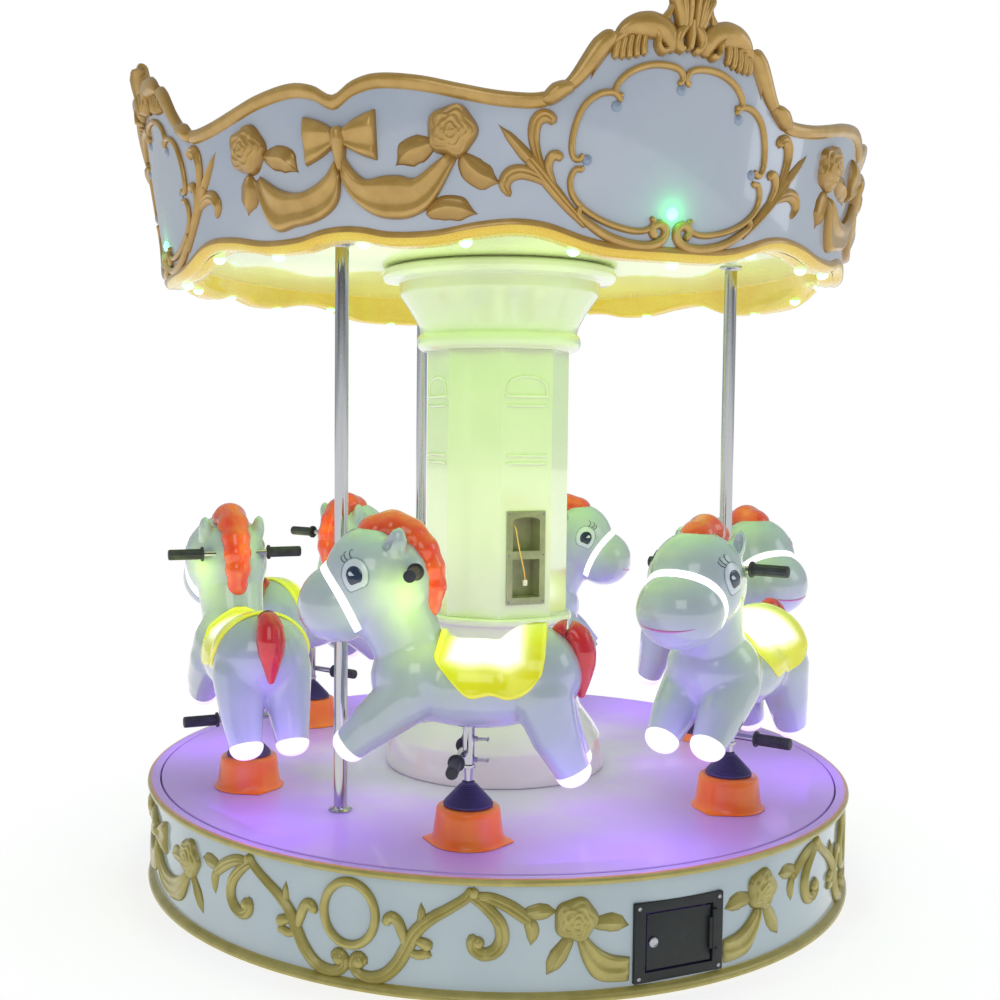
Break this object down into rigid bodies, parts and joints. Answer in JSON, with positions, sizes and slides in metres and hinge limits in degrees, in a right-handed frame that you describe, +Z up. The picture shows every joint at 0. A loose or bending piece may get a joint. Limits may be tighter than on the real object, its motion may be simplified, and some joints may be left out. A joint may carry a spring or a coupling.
{
  "type": "small fairground carousel",
  "caption": "Small round carousel: drum base with a service door, turntable with column and flared crown, and ponies on lifting stems.",
  "frame": {"origin": "on the floor under the turning axis, at the bottom centre of the bounding box", "axes": "+Z up along the turning axis; -Y to the front, where the service door is; +X to the right"},
  "size_m": [2.2498, 2.2498, 2.39],
  "materials": {
    "skirt": "glossy white gelcoat",
    "frame": "satin primer",
    "black_steel": "satin black powder coat",
    "panel_steel": "sanded sheet steel with dark trays",
    "zinc": "zinc plated",
    "deck": "semi-gloss gelcoat",
    "column": "glossy gelcoat",
    "ceiling": "glossy gelcoat",
    "crown": "glossy pearl gelcoat",
    "gold": "metallic gold paint",
    "pole": "polished stainless steel",
    "pony": "glossy gelcoat",
    "mane": "glossy red paint",
    "saddle": "glossy yellow paint",
    "pot": "glossy moulded plastic",
    "rubber": "matt black rubber",
    "lamp": "frosted lamp cover",
    "lead": "yellow and orange insulation",
    "connector": "white nylon"
  },
  "bodies": {
    "base": {"skirt_front": "skirt", "skirt_right": "skirt", "skirt_back": "skirt", "skirt_left": "skirt", "base_frame": "frame", "door_frame": "black_steel"},
    "access_door": {"door_leaf": "black_steel", "door_lock": "zinc"},
    "turntable": {"deck": "deck", "column_plinth": "column", "column_shaft": "column", "column_capital": "column", "control_panel": "panel_steel", "panel_lead": "lead", "lead_connector": "connector", "ceiling_panel": "ceiling", "crown_front": "crown", "crown_right": "crown", "crown_back": "crown", "crown_left": "crown", "pole_left": "pole", "pole_right": "pole", "pole_back": "pole", "pot_1": "pot", "pot_2": "pot", "pot_3": "pot", "pot_4": "pot", "pot_5": "pot", "pot_6": "pot", "gaiter_1": "rubber", "gaiter_2": "rubber", "gaiter_3": "rubber", "gaiter_4": "rubber", "gaiter_5": "rubber", "gaiter_6": "rubber"},
    "pony_1": {"pony_1_body": "pony", "pony_1_stem": "pole", "pony_1_handlebar": "pole"},
    "pony_2": {"pony_2_body": "pony", "pony_2_stem": "pole", "pony_2_handlebar": "pole"},
    "pony_3": {"pony_3_body": "pony", "pony_3_stem": "pole", "pony_3_handlebar": "pole"},
    "pony_4": {"pony_4_body": "pony", "pony_4_stem": "pole", "pony_4_handlebar": "pole"},
    "pony_5": {"pony_5_body": "pony", "pony_5_stem": "pole", "pony_5_handlebar": "pole"},
    "pony_6": {"pony_6_body": "pony", "pony_6_stem": "pole", "pony_6_handlebar": "pole"}
  },
  "joints": [
    {"name": "turntable_spin", "type": "hinge", "parent": "base", "child": "turntable", "pos_m": [0, 0, 0.306], "axis": [0, 0, 1], "continuous": true},
    {"name": "pony_1_lift", "type": "slide", "parent": "turntable", "child": "pony_1", "axis": [0, 0, 1], "range_m": [-0.04, 0.04], "deforming": ["gaiter_1"]},
    {"name": "pony_2_lift", "type": "slide", "parent": "turntable", "child": "pony_2", "axis": [0, 0, 1], "range_m": [-0.04, 0.04], "deforming": ["gaiter_2"]},
    {"name": "pony_3_lift", "type": "slide", "parent": "turntable", "child": "pony_3", "axis": [0, 0, 1], "range_m": [-0.04, 0.04], "deforming": ["gaiter_3"]},
    {"name": "pony_4_lift", "type": "slide", "parent": "turntable", "child": "pony_4", "axis": [0, 0, 1], "range_m": [-0.04, 0.04], "deforming": ["gaiter_4"]},
    {"name": "pony_5_lift", "type": "slide", "parent": "turntable", "child": "pony_5", "axis": [0, 0, 1], "range_m": [-0.04, 0.04], "deforming": ["gaiter_5"]},
    {"name": "pony_6_lift", "type": "slide", "parent": "turntable", "child": "pony_6", "axis": [0, 0, 1], "range_m": [-0.04, 0.04], "deforming": ["gaiter_6"]},
    {"name": "service_door", "type": "hinge", "parent": "base", "child": "access_door", "pos_m": [0.097, -1.083, 0.1285], "axis": [0, 0, 1], "range_deg": [0, 100]}
  ]
}
